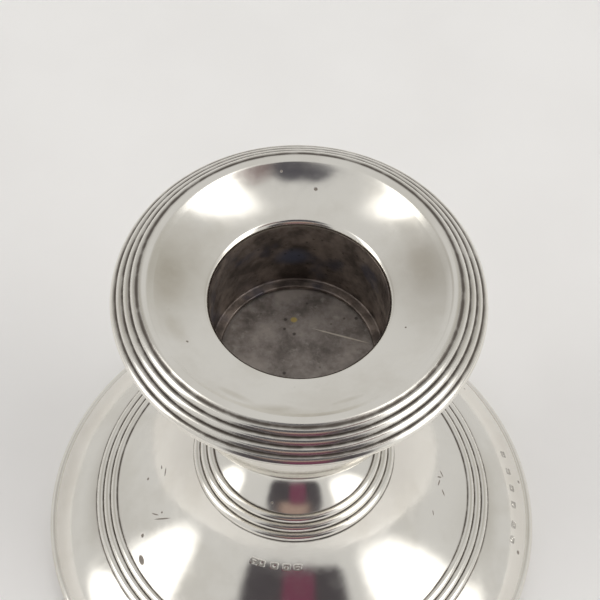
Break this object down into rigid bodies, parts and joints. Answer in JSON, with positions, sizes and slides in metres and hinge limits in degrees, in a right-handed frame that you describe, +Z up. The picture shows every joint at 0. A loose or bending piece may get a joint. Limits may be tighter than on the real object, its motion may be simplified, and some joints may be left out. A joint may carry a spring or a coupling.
{
  "type": "candlestick",
  "caption": "Short round silver candlestick: dished drip pan with a reeded edge on a lift-out nozzle, bowl-shaped sconce, waisted stem and spreading reeded foot.",
  "frame": {"origin": "middle of the underside, on the surface that the candlestick stands on", "axes": "+Z is up, along the axis that every piece is turned about and out of the candle socket; X and Y lie in the table's plane"},
  "size_m": [0.072, 0.072, 0.0639],
  "materials": {
    "silver": "polished",
    "silver_tarnished": "satin",
    "steel": "satin",
    "pitch": "satin",
    "card": "matte",
    "baize": "matte"
  },
  "bodies": {
    "stand": {"sconce_rim": "silver", "sconce_well": "silver_tarnished", "well_floor": "silver_tarnished", "sconce_bowl": "silver", "sconce_filling": "pitch", "neck_sleeve": "silver_tarnished", "stem": "silver", "stem_ring": "silver", "base_shell": "silver", "base_band": "silver", "foot_wire": "silver", "rod_plate": "steel", "tie_rod": "steel", "base_filling": "pitch", "base_plate": "steel", "rod_washer": "steel", "rod_nut": "steel", "base_card": "card", "baize_pad": "baize"},
    "nozzle": {"drip_pan": "silver", "pan_border": "silver", "pan_underplate": "silver", "nozzle_tube": "silver_tarnished"}
  },
  "joints": [
    {"name": "nozzle_lift", "type": "slide", "parent": "stand", "child": "nozzle", "axis": [0, 0, 1], "range_m": [0, 0.03]}
  ]
}
